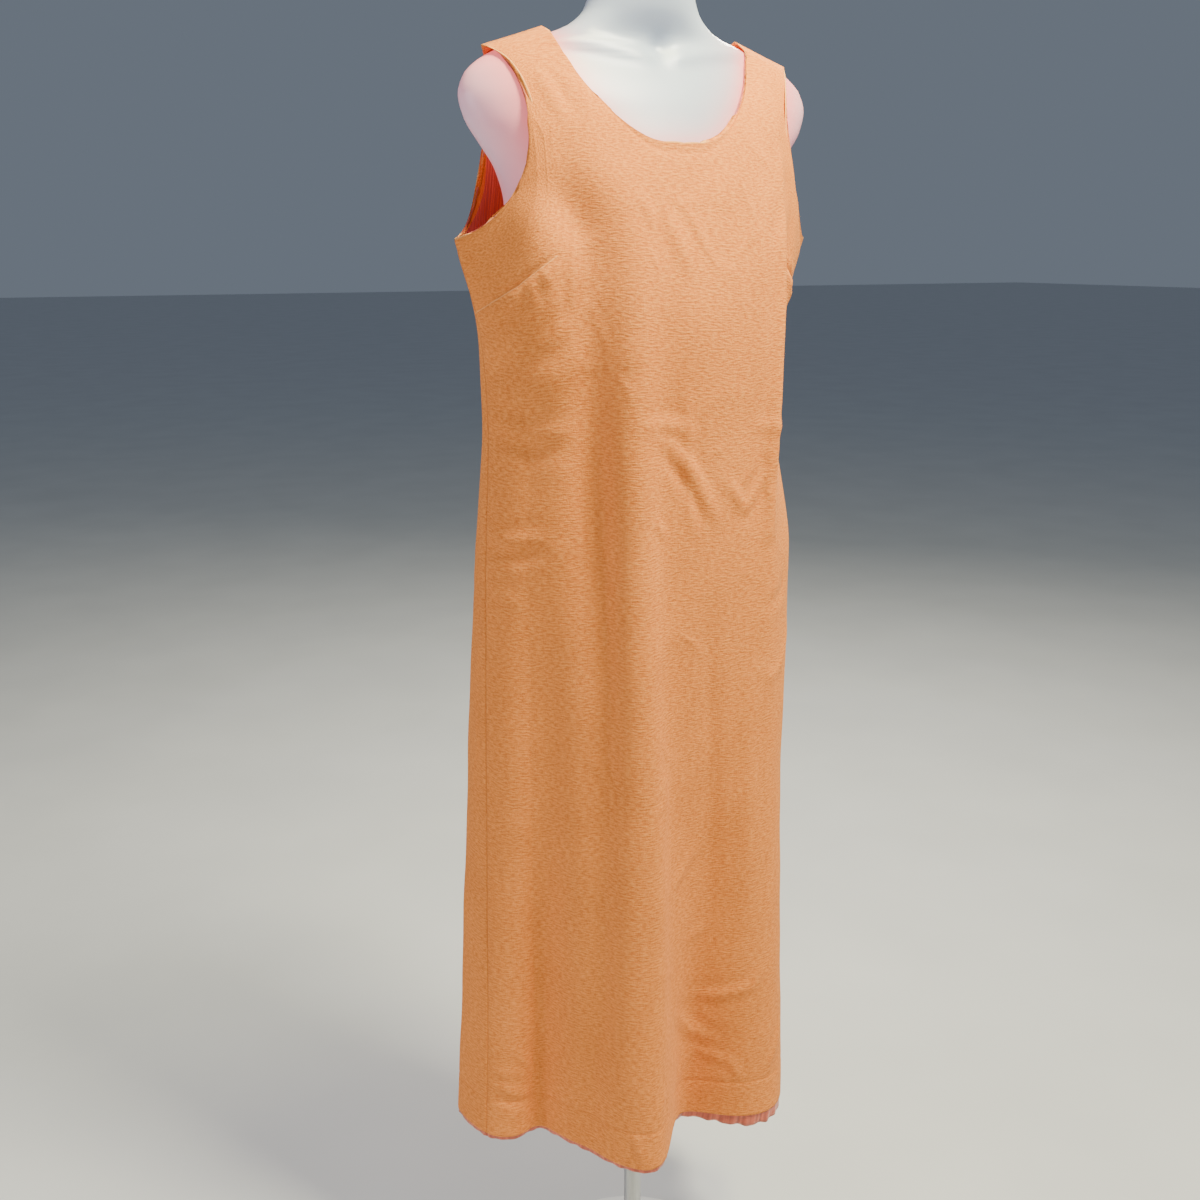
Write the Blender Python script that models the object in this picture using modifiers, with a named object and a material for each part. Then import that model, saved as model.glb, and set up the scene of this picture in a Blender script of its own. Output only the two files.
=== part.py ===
"""A sleeveless, fully lined shift dress on a limbless dress form with a pole and a round base.

The dress is cut in four pieces: a front and a back of slubbed cloth, and a front and a back of
lining that hang inside them.  Each piece is a thin wall.  Its columns run up the cloth from the hem
to the neck, the shoulder seam or the armhole, and its rows run across it.  Up to the yoke height the
rows are level rings round the body; above it the columns bend to the cut edges.

Frame: metres, +Z up, floor at z = 0, the pole on the Z axis, the front of the dress towards -Y.
"""

from collections import namedtuple

import bmesh
import bpy
import numpy as np
from mathutils import Vector
from mathutils.bvhtree import BVHTree

# Cloth
CLOTH_WALL = 0.0012
LINING_WALL = 0.0010
GAP = 0.0003
LAYER_GAP = 0.0006
HEM_HEIGHT = 0.280
LINING_DROP = 0.011
YOKE_HEIGHT = 0.980
BODY_CLEARANCE = 0.0011

# How finely the pieces are divided
FRONT_HALF_COLUMNS = 16
BACK_HALF_COLUMNS = 12
SKIRT_ROWS = 10
YOKE_SHARES = (0.19, 0.37, 0.53, 0.67, 0.79, 0.88, 0.95, 1.0)
RING_SAMPLES = 400
CLEARING_ROUNDS = 24
FACE_SPOTS = 4

# Stand
BASE_RADIUS = 0.150
BASE_THICKNESS = 0.010
BASE_EDGE = 0.002
POLE_RADIUS = 0.011
FLANGE_RADIUS = 0.045
FLANGE_THICKNESS = 0.012
ROUND_SEGMENTS = 32
TORSO_SEGMENTS = 32

# All heights in the tables are above the hem.

# The hanging cloth, a row for each level: how far each side seam is from the middle, how far each
# seam lies behind the shoulder line, the front's and the back's depth, and how square each is.
Ring = namedtuple("Ring", "height left right left_seam right_seam front back front_power back_power")
RINGS = (
    Ring(-0.02, 0.190, 0.190, 0.034, 0.004, 0.090, 0.100, 2.5, 3.0),
    Ring(0.23, 0.184, 0.186, 0.028, 0.003, 0.099, 0.102, 2.4, 2.9),
    Ring(0.48, 0.183, 0.180, 0.019, 0.002, 0.107, 0.102, 2.4, 2.8),
    Ring(0.73, 0.180, 0.185, 0.012, 0.000, 0.112, 0.098, 2.4, 2.6),
    Ring(0.88, 0.176, 0.168, 0.006, 0.000, 0.115, 0.092, 2.4, 2.4),
    Ring(0.98, 0.183, 0.178, 0.002, 0.000, 0.118, 0.094, 2.4, 2.4),
    Ring(1.06, 0.202, 0.196, 0.000, 0.000, 0.119, 0.096, 2.4, 2.4),
)

# The large folds, a row for each: its place across the body at the hem and at its top, how far it
# stands out (or in, below zero) at the hem, how wide it is, where it dies out, and how fast.
Fold = namedtuple("Fold", "panel hem_x top_x depth width top_width top fade")
FOLDS = (
    Fold("front", -0.152, -0.145, -0.057, 0.040, 0.030, 1.00, 0.9),
    Fold("front", -0.036, -0.075, 0.050, 0.030, 0.030, 0.94, 1.3),
    Fold("front", 0.050, 0.030, -0.034, 0.028, 0.030, 0.76, 1.5),
    Fold("front", 0.145, 0.120, 0.028, 0.035, 0.030, 0.83, 1.3),
    Fold("back", -0.160, -0.150, 0.030, 0.030, 0.030, 0.88, 1.0),
    Fold("back", -0.060, -0.050, -0.030, 0.035, 0.030, 0.73, 1.3),
    Fold("back", 0.045, 0.030, 0.024, 0.035, 0.030, 0.68, 1.4),
    Fold("back", 0.115, 0.100, -0.022, 0.030, 0.030, 0.63, 1.4),
    Fold("back", 0.185, 0.160, 0.045, 0.030, 0.030, 0.58, 1.4),
)

# Broad swells of the cloth over and beside the bust (hollows below zero), a row for each: the place of
# its middle, how far it stands out there, and how wide and how tall it is.
Swell = namedtuple("Swell", "panel x z depth width reach")
SWELLS = (
    Swell("front", 0.156, 0.96, -0.013, 0.020, 0.110),
    Swell("front", 0.112, 0.94, 0.004, 0.014, 0.160),
    Swell("front", -0.106, 0.84, -0.007, 0.018, 0.180),
    Swell("front", -0.064, 0.80, 0.004, 0.018, 0.220),
    Swell("front", -0.160, 0.88, -0.006, 0.018, 0.040),
    Swell("back", -0.120, 0.86, -0.006, 0.035, 0.090),
    Swell("back", 0.120, 0.86, -0.006, 0.035, 0.090),
)

# The cut edges of one half, a row for each point from the middle to the armpit.  share is the
# column that ends there, lean is how far the cloth leans over the body where it arrives, in degrees,
# and swing is how much it runs outwards there.
Cut = namedtuple("Cut", "share x y z lean swing")
SHOULDER_NECK_SHARE = {"front": 6 / 16, "back": 4 / 12}
SHOULDER_TIP_SHARE = {"front": 8 / 16, "back": 6 / 12}
SHOULDER_NECK = (0.112, 0.000, 1.2795)
SHOULDER_TIP = (0.178, 0.000, 1.2580)
ARMPIT = (0.209, 0.000, 1.078)
NECKLINE = {
    "front": (
        Cut(0.000, 0.000, -0.087, 1.1700, 22, 0.00),
        Cut(0.095, 0.029, -0.086, 1.1715, 22, 0.00),
        Cut(0.170, 0.055, -0.081, 1.1820, 25, 0.02),
        Cut(0.235, 0.078, -0.069, 1.2040, 33, 0.04),
        Cut(0.285, 0.096, -0.050, 1.2320, 45, 0.02),
        Cut(0.330, 0.107, -0.027, 1.2630, 62, -0.10),
    ),
    "back": (
        Cut(0.000, 0.000, 0.086, 1.2180, 22, 0.00),
        Cut(0.085, 0.032, 0.083, 1.2200, 23, 0.00),
        Cut(0.165, 0.064, 0.073, 1.2300, 28, 0.02),
        Cut(0.235, 0.090, 0.052, 1.2500, 42, 0.02),
        Cut(0.285, 0.105, 0.026, 1.2700, 62, -0.10),
    ),
}
ARMHOLE = {
    "front": (
        Cut(0.545, 0.165, -0.026, 1.2460, 58, 0.85),
        Cut(0.590, 0.153, -0.047, 1.2180, 38, 0.60),
        Cut(0.645, 0.147, -0.058, 1.1850, 28, 0.22),
        Cut(0.715, 0.149, -0.062, 1.1540, 20, 0.00),
        Cut(0.805, 0.162, -0.054, 1.1230, 14, 0.00),
        Cut(0.905, 0.184, -0.032, 1.0960, 8, 0.00),
    ),
    "back": (
        Cut(0.550, 0.166, 0.028, 1.2440, 58, 0.85),
        Cut(0.605, 0.156, 0.048, 1.2120, 38, 0.60),
        Cut(0.665, 0.152, 0.060, 1.1760, 26, 0.22),
        Cut(0.740, 0.155, 0.062, 1.1420, 18, 0.00),
        Cut(0.830, 0.168, 0.050, 1.1100, 12, 0.00),
        Cut(0.920, 0.187, 0.029, 1.0910, 8, 0.00),
    ),
}
SHOULDER_LEAN = 86
SHOULDER_NECK_SWING = -0.40
SHOULDER_TIP_SWING = 0.95
ARMPIT_SWING = -0.22
YOKE_SPRING = 0.95
EDGE_SPRING = 0.55

# The dress form, a row for each level from its open hips to the top of its neck.
Section = namedtuple("Section", "height half_width front back power")
TORSO = (
    Section(0.580, 0.142, 0.076, 0.074, 2.2),
    Section(0.640, 0.150, 0.083, 0.084, 2.2),
    Section(0.710, 0.150, 0.086, 0.088, 2.2),
    Section(0.790, 0.141, 0.085, 0.082, 2.2),
    Section(0.870, 0.128, 0.082, 0.075, 2.2),
    Section(0.950, 0.136, 0.094, 0.078, 2.2),
    Section(1.020, 0.146, 0.108, 0.082, 2.3),
    Section(1.070, 0.149, 0.105, 0.085, 2.3),
    Section(1.115, 0.152, 0.096, 0.084, 2.2),
    Section(1.145, 0.162, 0.086, 0.082, 2.1),
    Section(1.170, 0.180, 0.078, 0.079, 2.0),
    Section(1.193, 0.196, 0.069, 0.075, 2.0),
    Section(1.215, 0.202, 0.060, 0.070, 2.0),
    Section(1.233, 0.196, 0.051, 0.064, 2.0),
    Section(1.247, 0.181, 0.043, 0.057, 2.0),
    Section(1.258, 0.160, 0.037, 0.051, 2.0),
    Section(1.267, 0.134, 0.034, 0.047, 2.1),
    Section(1.275, 0.107, 0.033, 0.046, 2.1),
    Section(1.286, 0.081, 0.037, 0.047, 2.0),
    Section(1.302, 0.063, 0.043, 0.048, 2.0),
    Section(1.328, 0.054, 0.046, 0.048, 2.0),
    Section(1.370, 0.052, 0.046, 0.048, 2.0),
    Section(1.386, 0.049, 0.043, 0.045, 2.0),
    Section(1.394, 0.042, 0.036, 0.038, 2.0),
)


def smooth(at, places, values):
    """Values at the places asked for, on a smooth curve through a table's rows with no overshoot."""
    at, places, values = (np.asarray(v, float) for v in (at, places, values))
    steps = np.diff(places)
    slopes = np.diff(values) / steps
    before, after = slopes[:-1], slopes[1:]
    same_way = before * after > 0
    total = np.where(same_way, before + after, 1.0)
    inner = np.where(same_way, 2 * before * after / total, 0.0)
    tangents = np.concatenate([slopes[:1], inner, slopes[-1:]])
    k = np.clip(np.searchsorted(places, at) - 1, 0, len(steps) - 1)
    t = (at - places[k]) / steps[k]
    rise = values[k] * (1 + 2 * t) * (1 - t) ** 2 + values[k + 1] * t**2 * (3 - 2 * t)
    bend = tangents[k] * t * (1 - t) ** 2 - tangents[k + 1] * t**2 * (1 - t)
    return rise + bend * steps[k]


def column_of(rows, name):
    """One named column of a table."""
    return [getattr(row, name) for row in rows]


def at_height(rows, name, z):
    """A table's column at the height z."""
    return float(smooth(z, column_of(rows, "height"), column_of(rows, name)))


def fold_depth(panel, x, z):
    """How far the folds of a panel stand out from its plain ring, at x across and z above the hem."""
    out = np.zeros_like(x)
    for fold in FOLDS:
        if fold.panel != panel or z >= fold.top:
            continue
        fallen = 1 - z / fold.top
        place = fold.top_x + (fold.hem_x - fold.top_x) * fallen
        width = fold.top_width + (fold.width - fold.top_width) * fallen
        out += fold.depth * fallen**fold.fade * np.exp(-0.5 * ((x - place) / width) ** 2)
    for swell in SWELLS:
        if swell.panel == panel:
            up = np.exp(-0.5 * ((z - swell.z) / swell.reach) ** 2)
            out += swell.depth * up * np.exp(-0.5 * ((x - swell.x) / swell.width) ** 2)
    return out


def ring_points(panel, z, fractions):
    """The points of a panel's level ring, at fractions of its length from the left to the right seam."""
    half_turn = np.linspace(np.pi, 0.0, RING_SAMPLES)
    depth, power = at_height(RINGS, panel, z), at_height(RINGS, panel + "_power", z)
    left, right = at_height(RINGS, "left", z), at_height(RINGS, "right", z)
    left_seam, right_seam = at_height(RINGS, "left_seam", z), at_height(RINGS, "right_seam", z)
    across = np.sign(np.cos(half_turn)) * np.abs(np.cos(half_turn)) ** (2 / power)
    bulge = np.abs(np.sin(half_turn)) ** (2 / power)
    x = np.where(across < 0, across * left, across * right)
    width = np.where(across < 0, left, right)
    sideways = np.sign(across) * np.abs(across) ** (power - 1) / width
    forwards = bulge ** (power - 1) / depth
    out = fold_depth(panel, x, z) * np.minimum(2 * bulge, 1) / np.hypot(sideways, forwards)
    seam = left_seam + (right_seam - left_seam) * (x + left) / (left + right)
    y = depth * bulge + out * forwards
    x = x + out * sideways
    y = seam + (y if panel == "back" else -y)
    length = np.concatenate([[0.0], np.cumsum(np.hypot(np.diff(x), np.diff(y)))])
    wanted = np.asarray(fractions) * length[-1]
    level = np.full(len(wanted), z)
    return np.stack([np.interp(wanted, length, x), np.interp(wanted, length, y), level], axis=1)


def cut_edge(panel, shares):
    """The points, the leans and the swings where columns with these shares of a half reach the edge."""
    neck_share, tip_share = SHOULDER_NECK_SHARE[panel], SHOULDER_TIP_SHARE[panel]
    neck = Cut(neck_share, *SHOULDER_NECK, SHOULDER_LEAN, SHOULDER_NECK_SWING)
    tip = Cut(tip_share, *SHOULDER_TIP, SHOULDER_LEAN, SHOULDER_TIP_SWING)
    armpit = Cut(1.0, *ARMPIT, 0, ARMPIT_SWING)
    stretches = (
        (*NECKLINE[panel], neck),
        (neck, tip),
        (tip, *ARMHOLE[panel], armpit),
    )
    which = np.searchsorted([neck_share, tip_share], shares - 1e-9)
    out = np.empty((len(shares), 5))
    for number, rows in enumerate(stretches):
        mine = which == number
        for k, name in enumerate(("x", "y", "z", "lean", "swing")):
            out[mine, k] = smooth(shares[mine], column_of(rows, "share"), column_of(rows, name))
    return out[:, :3], out[:, 3], out[:, 4]


def yoke_points(panel, fractions):
    """The rows above the yoke height, where each column bends from its ring to the cut edge."""
    step = 0.01
    start = ring_points(panel, YOKE_HEIGHT, fractions)
    above = ring_points(panel, YOKE_HEIGHT + step, fractions)
    below = ring_points(panel, YOKE_HEIGHT - step, fractions)
    side = np.sign(fractions - 0.5)
    end, lean, swing = cut_edge(panel, np.abs(2 * fractions - 1))
    end[:, 0] *= side
    reach = np.linalg.norm(end - start, axis=1)[:, None]
    leaving = (above - below) / (2 * step) * reach * YOKE_SPRING
    backwards = -1.0 if panel == "back" else 1.0
    over, up = np.sin(np.radians(lean)) * backwards, np.cos(np.radians(lean))
    arriving = np.stack([(end - start)[:, 0] / reach[:, 0] * up + swing * side, over, up], axis=1)
    arriving *= reach * EDGE_SPRING
    rows = []
    for t in YOKE_SHARES:
        rows.append(
            start * (1 + 2 * t) * (1 - t) ** 2
            + leaving * t * (1 - t) ** 2
            + end * t**2 * (3 - 2 * t)
            - arriving * t**2 * (1 - t)
        )
    return np.array(rows)


def panel_grid(panel, half_columns):
    """A panel's points, a row for each level from the lining's hem up, from the left to the right."""
    fractions = np.linspace(0.0, 1.0, 2 * half_columns + 1)
    levels = [-LINING_DROP, *np.linspace(0.0, YOKE_HEIGHT, SKIRT_ROWS + 1)]
    skirt = np.array([ring_points(panel, z, fractions) for z in levels])
    grid = np.concatenate([skirt, yoke_points(panel, fractions)])
    return grid + (0.0, 0.0, HEM_HEIGHT)


def shoulder_columns(panel, half_columns):
    """The numbers of the columns that end on the left and on the right shoulder seam."""
    first = round(SHOULDER_NECK_SHARE[panel] * half_columns)
    last = round(SHOULDER_TIP_SHARE[panel] * half_columns)
    steps = range(first, last + 1)
    return [half_columns - k for k in steps] + [half_columns + k for k in steps]


def join_seams(front, back):
    """Gives both panels the same values along the side seams and the shoulder seams."""
    pairs = list(
        zip(
            shoulder_columns("front", FRONT_HALF_COLUMNS),
            shoulder_columns("back", BACK_HALF_COLUMNS),
        )
    )
    for column in (0, -1):
        middle = (front[:, column] + back[:, column]) / 2
        front[:, column] = middle
        back[:, column] = middle
    for ours, theirs in pairs:
        middle = (front[-1, ours] + back[-1, theirs]) / 2
        front[-1, ours] = middle
        back[-1, theirs] = middle


def slants(grid):
    """True for each face of a grid whose shorter diagonal runs up to the right."""
    up = np.linalg.norm(grid[1:, 1:] - grid[:-1, :-1], axis=2)
    down = np.linalg.norm(grid[1:, :-1] - grid[:-1, 1:], axis=2)
    return up <= down


def face_triangles(r, c, slant):
    """The two triangles, as rows and columns of a grid, that one face of the grid is split into."""
    a, b, d, e = (r, c), (r, c + 1), (r + 1, c + 1), (r + 1, c)
    return ((a, b, d), (a, d, e)) if slant else ((a, b, e), (b, d, e))


def outward(grid, panel, slant):
    """The unit normals of a panel's points, pointing away from the body."""
    normals = np.zeros_like(grid)
    for (r, c), up in np.ndenumerate(slant):
        for corners in face_triangles(r, c, up):
            first, second, third = (grid[corner] for corner in corners)
            normal = np.cross(second - first, third - first)
            normal /= np.linalg.norm(normal)
            for corner in corners:
                normals[corner] += normal
    if panel == "back":
        normals = -normals
    return normals / np.linalg.norm(normals, axis=2, keepdims=True)


def shortfall(body, point):
    """The move that brings a point out to the clearance from the body, or None where it is clear."""
    near, normal, _, _ = body.find_nearest(Vector(point))
    height = (Vector(point) - near).dot(normal)
    if height >= BODY_CLEARANCE:
        return None
    return np.array(normal * (BODY_CLEARANCE - height))


def clear_of_body(body, grid, slant):
    """Moves the points of a grid out until its faces lie clear of the body; True if any moved."""
    moved = False
    steps = range(FACE_SPOTS + 1)
    shares = [(i / FACE_SPOTS, j / FACE_SPOTS) for i in steps for j in steps if i + j <= FACE_SPOTS]
    for (r, c), up in np.ndenumerate(slant):
        if grid[r + 1, c, 2] < HEM_HEIGHT + TORSO[0].height:
            continue
        for corners in face_triangles(r, c, up):
            for first, second in shares:
                weights = (first, second, 1 - first - second)
                spot = sum(grid[corner] * weight for corner, weight in zip(corners, weights))
                move = shortfall(body, spot)
                if move is None:
                    continue
                moved = True
                for corner, weight in zip(corners, weights):
                    grid[corner] += move * min(weight * 2, 1)
    return moved


def pull_in(points, grid, panel, half_columns):
    """Moves the seam edges of a wall's points half the gap away from the piece on the other side."""
    pulled = points.copy()
    for edge, inner in ((0, 1), (-1, -2)):
        along = grid[:, inner] - grid[:, edge]
        pulled[:, edge] += along / np.linalg.norm(along, axis=1, keepdims=True) * GAP / 2
    columns = shoulder_columns(panel, half_columns)
    down = grid[-2, columns] - grid[-1, columns]
    pulled[-1, columns] += down / np.linalg.norm(down, axis=1, keepdims=True) * GAP / 2
    return pulled


def wall_mesh(name, outer, inner, panel, slant):
    """A closed wall between two grids of points, with the same diagonals on both of its sides."""
    rows, columns = outer.shape[:2]
    mesh = bmesh.new()
    sheets = [
        [[mesh.verts.new(point) for point in row] for row in grid] for grid in (outer, inner)
    ]

    def face(*corners):
        mesh.faces.new(corners if panel == "front" else corners[::-1])

    for (r, c), up in np.ndenumerate(slant):
        for triangle in face_triangles(r, c, up):
            face(*(sheets[0][row][column] for row, column in triangle))
            face(*(sheets[1][row][column] for row, column in triangle[::-1]))
    out, back = sheets
    rim = [(0, c) for c in range(columns)] + [(r, columns - 1) for r in range(1, rows)]
    rim += [(rows - 1, c) for c in range(columns - 2, -1, -1)] + [(r, 0) for r in range(rows - 2, 0, -1)]
    for (r, c), (s, d) in zip(rim, rim[1:] + rim[:1]):
        face(out[r][c], back[r][c], back[s][d])
        face(out[r][c], back[s][d], out[s][d])
    return as_object(name, mesh)


def as_object(name, mesh):
    """An object of the dress's collection that holds a bmesh."""
    data = bpy.data.meshes.new(name)
    mesh.normal_update()
    mesh.to_mesh(data)
    mesh.free()
    obj = bpy.data.objects.new(name, data)
    bpy.data.collections["shift_dress"].objects.link(obj)
    return obj


def torso_mesh():
    """The dress form as a loft of its sections, closed at the hips and at the top of the neck."""
    mesh = bmesh.new()
    turns = np.linspace(0.0, 2 * np.pi, TORSO_SEGMENTS, endpoint=False)
    rings = []
    for section in TORSO:
        x = np.sign(np.cos(turns)) * np.abs(np.cos(turns)) ** (2 / section.power)
        y = np.sign(np.sin(turns)) * np.abs(np.sin(turns)) ** (2 / section.power)
        depth = np.where(y < 0, section.front, section.back)
        points = zip(x * section.half_width, y * depth)
        level = HEM_HEIGHT + section.height
        rings.append([mesh.verts.new((px, py, level)) for px, py in points])
    for lower, upper in zip(rings, rings[1:]):
        for k in range(TORSO_SEGMENTS):
            following = (k + 1) % TORSO_SEGMENTS
            mesh.faces.new((lower[k], lower[following], upper[following], upper[k]))
    mesh.faces.new(rings[0][::-1])
    mesh.faces.new(rings[-1])
    bmesh.ops.triangulate(mesh, faces=mesh.faces)
    return mesh


def disc(name, radius, low, high):
    """A round upright piece between two heights on the Z axis."""
    mesh = bmesh.new()
    bmesh.ops.create_cone(
        mesh,
        cap_ends=True,
        segments=ROUND_SEGMENTS,
        radius1=radius,
        radius2=radius,
        depth=high - low,
    )
    obj = as_object(name, mesh)
    obj.location = (0.0, 0.0, (low + high) / 2)
    return obj


def dress_finish(obj, name, colour, roughness, metallic=0.0):
    """Gives an object a material of its own."""
    material = bpy.data.materials.new(name)
    material.use_nodes = True
    shader = material.node_tree.nodes["Principled BSDF"]
    shader.inputs["Base Color"].default_value = (*colour, 1.0)
    shader.inputs["Roughness"].default_value = roughness
    shader.inputs["Metallic"].default_value = metallic
    obj.data.materials.append(material)


def build_stand():
    """The base, the pole and the flange that carries the dress form."""
    flange_top = HEM_HEIGHT + TORSO[0].height - GAP
    flange_foot = flange_top - FLANGE_THICKNESS
    base = disc("base_plate", BASE_RADIUS, 0.0, BASE_THICKNESS)
    rounding = base.modifiers.new("edge", "BEVEL")
    rounding.width = BASE_EDGE
    rounding.segments = 2
    rounding.limit_method = "ANGLE"
    pole = disc("pole", POLE_RADIUS, BASE_THICKNESS + GAP, flange_foot - GAP)
    flange = disc("flange", FLANGE_RADIUS, flange_foot, flange_top)
    dress_finish(base, "base_paint", (0.78, 0.78, 0.77), 0.45)
    dress_finish(pole, "pole_steel", (0.75, 0.75, 0.76), 0.25, 1.0)
    dress_finish(flange, "flange_steel", (0.75, 0.75, 0.76), 0.3, 1.0)


def build_torso():
    """The dress form, and its surface for the cloth to lie on."""
    mesh = torso_mesh()
    body = BVHTree.FromBMesh(mesh)
    obj = as_object("form_torso", mesh)
    obj.data.shade_smooth()
    dress_finish(obj, "frosted_plastic", (0.80, 0.82, 0.86), 0.35)
    return body


def build_dress(body):
    """The four cut pieces of the dress, the lining just outside the body and the cloth over it."""
    sizes = {"front": FRONT_HALF_COLUMNS, "back": BACK_HALF_COLUMNS}
    grids = {panel: panel_grid(panel, half) for panel, half in sizes.items()}
    join_seams(grids["front"], grids["back"])
    slant = {panel: slants(grid) for panel, grid in grids.items()}
    for _ in range(CLEARING_ROUNDS):
        moved = [clear_of_body(body, grid, slant[panel]) for panel, grid in grids.items()]
        join_seams(grids["front"], grids["back"])
        if not any(moved):
            break
    normals = {panel: outward(grid, panel, slant[panel]) for panel, grid in grids.items()}
    join_seams(normals["front"], normals["back"])
    cloth_foot = LINING_WALL + LAYER_GAP
    layers = (
        ("lining", 0.0, LINING_WALL, 0, (0.80, 0.28, 0.15), 0.5),
        ("panel", cloth_foot, cloth_foot + CLOTH_WALL, 1, (0.83, 0.44, 0.20), 0.85),
    )
    for panel, half in sizes.items():
        grid = grids[panel]
        normal = normals[panel] / np.linalg.norm(normals[panel], axis=2, keepdims=True)
        for layer, low, high, first_row, colour, roughness in layers:
            sides = [
                pull_in(grid + normal * rise, grid, panel, half)[first_row:] for rise in (high, low)
            ]
            name = f"{panel}_{layer}"
            obj = wall_mesh(name, *sides, panel, slant[panel][first_row:])
            obj.data.shade_smooth()
            dress_finish(obj, name + "_cloth", colour, roughness)


def main():
    """Clears the scene and builds the stand, the dress form and the dress."""
    for obj in list(bpy.data.objects):
        bpy.data.objects.remove(obj)
    collection = bpy.data.collections.new("shift_dress")
    bpy.context.scene.collection.children.link(collection)
    build_stand()
    build_dress(build_torso())


main()
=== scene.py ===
"""The looks of a long sleeveless lined shift dress on a limbless frosted dress form and its stand.

The dress is four thin shells: a front and a back of slubbed cloth over a front and a back of lining.
Each shell follows the same rings and cut edges as its solid, far more finely, with the soft creases
of hanging cloth on top.  Heights in the tables are above the hem, in metres, as everything is.
"""

import logging
from dataclasses import dataclass, field
from enum import Enum
from typing import NamedTuple

import bpy
import numpy as np
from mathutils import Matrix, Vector
from mathutils.bvhtree import BVHTree
from mathutils.kdtree import KDTree


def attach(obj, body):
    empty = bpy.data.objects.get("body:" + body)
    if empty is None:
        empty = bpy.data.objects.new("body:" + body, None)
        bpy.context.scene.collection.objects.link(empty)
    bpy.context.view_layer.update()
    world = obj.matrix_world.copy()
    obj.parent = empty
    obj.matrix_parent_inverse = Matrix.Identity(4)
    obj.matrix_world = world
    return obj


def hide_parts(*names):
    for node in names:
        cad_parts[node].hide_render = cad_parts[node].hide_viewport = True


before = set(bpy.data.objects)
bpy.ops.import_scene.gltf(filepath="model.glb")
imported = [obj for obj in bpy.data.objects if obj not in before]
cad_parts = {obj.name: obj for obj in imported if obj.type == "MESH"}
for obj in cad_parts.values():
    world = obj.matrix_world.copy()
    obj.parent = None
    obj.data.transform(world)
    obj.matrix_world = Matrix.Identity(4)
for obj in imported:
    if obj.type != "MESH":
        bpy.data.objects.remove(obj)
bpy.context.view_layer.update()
LOG = logging.getLogger("shift_dress")
BODY = "root"

HEM_HEIGHT = 0.280
YOKE_HEIGHT = 0.980
CLOTH_WALL = 0.0012
LINING_WALL = 0.0010
LAYER_GAP = 0.0006
BODY_CLEARANCE = 0.0011
SHOULDER_HIDES_EDGE = 0.1
BACK_PATTERN_SHIFT = 3.0
LINING_SHOWS = 0.012
HEM_DEPTH = 0.050


class Panel(Enum):
    """The two halves of the dress, cut front and back."""

    FRONT = "front"
    BACK = "back"


class Layer(Enum):
    """The two layers of each half."""

    CLOTH = "panel"
    LINING = "lining"


class Ring(NamedTuple):
    """The plain ring of the hanging cloth at one height."""

    height: float
    left: float
    right: float
    left_seam: float
    right_seam: float
    front: float
    back: float
    front_power: float
    back_power: float


class Fold(NamedTuple):
    """One of the large folds, from its place at the hem to the height where it dies out."""

    hem_x: float
    top_x: float
    depth: float
    width: float
    top_width: float
    top: float
    fade: float


class Swell(NamedTuple):
    """A broad swell of the cloth by the bust or the waist; below zero it is a hollow."""

    x: float
    z: float
    depth: float
    width: float
    reach: float


class Cut(NamedTuple):
    """A point of a cut edge: the column that ends there, its place, its lean and its swing."""

    share: float
    x: float
    y: float
    z: float
    lean: float
    swing: float


class Crease(NamedTuple):
    """A soft wrinkle along points across and up the cloth; below zero it is a trough."""

    depth: float
    width: float
    route: tuple[tuple[float, float], ...]


RINGS = (
    Ring(-0.02, 0.190, 0.190, 0.034, 0.004, 0.090, 0.100, 2.5, 3.0),
    Ring(0.23, 0.184, 0.186, 0.028, 0.003, 0.099, 0.102, 2.4, 2.9),
    Ring(0.48, 0.183, 0.180, 0.019, 0.002, 0.107, 0.102, 2.4, 2.8),
    Ring(0.73, 0.180, 0.185, 0.012, 0.000, 0.112, 0.098, 2.4, 2.6),
    Ring(0.88, 0.176, 0.168, 0.006, 0.000, 0.115, 0.092, 2.4, 2.4),
    Ring(0.98, 0.183, 0.178, 0.002, 0.000, 0.118, 0.094, 2.4, 2.4),
    Ring(1.06, 0.202, 0.196, 0.000, 0.000, 0.119, 0.096, 2.4, 2.4),
)
FOLDS = {
    Panel.FRONT: (
        Fold(-0.152, -0.145, -0.057, 0.040, 0.030, 1.00, 0.9),
        Fold(-0.036, -0.075, 0.050, 0.030, 0.030, 0.94, 1.3),
        Fold(0.050, 0.030, -0.034, 0.028, 0.030, 0.76, 1.5),
        Fold(0.145, 0.120, 0.028, 0.035, 0.030, 0.83, 1.3),
    ),
    Panel.BACK: (
        Fold(-0.160, -0.150, 0.030, 0.030, 0.030, 0.88, 1.0),
        Fold(-0.060, -0.050, -0.030, 0.035, 0.030, 0.73, 1.3),
        Fold(0.045, 0.030, 0.024, 0.035, 0.030, 0.68, 1.4),
        Fold(0.115, 0.100, -0.022, 0.030, 0.030, 0.63, 1.4),
        Fold(0.185, 0.160, 0.045, 0.030, 0.030, 0.58, 1.4),
    ),
}
SWELLS = {
    Panel.FRONT: (
        Swell(0.156, 0.96, -0.018, 0.020, 0.130),
        Swell(0.114, 0.95, 0.008, 0.012, 0.180),
        Swell(-0.106, 0.84, -0.007, 0.018, 0.180),
        Swell(-0.064, 0.80, 0.004, 0.018, 0.220),
        Swell(-0.160, 0.88, -0.006, 0.018, 0.040),
    ),
    Panel.BACK: (
        Swell(-0.120, 0.86, -0.006, 0.035, 0.090),
        Swell(0.120, 0.86, -0.006, 0.035, 0.090),
    ),
}
SHOULDER_NECK = (0.112, 0.000, 1.2795)
SHOULDER_TIP = (0.178, 0.000, 1.2580)
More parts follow.
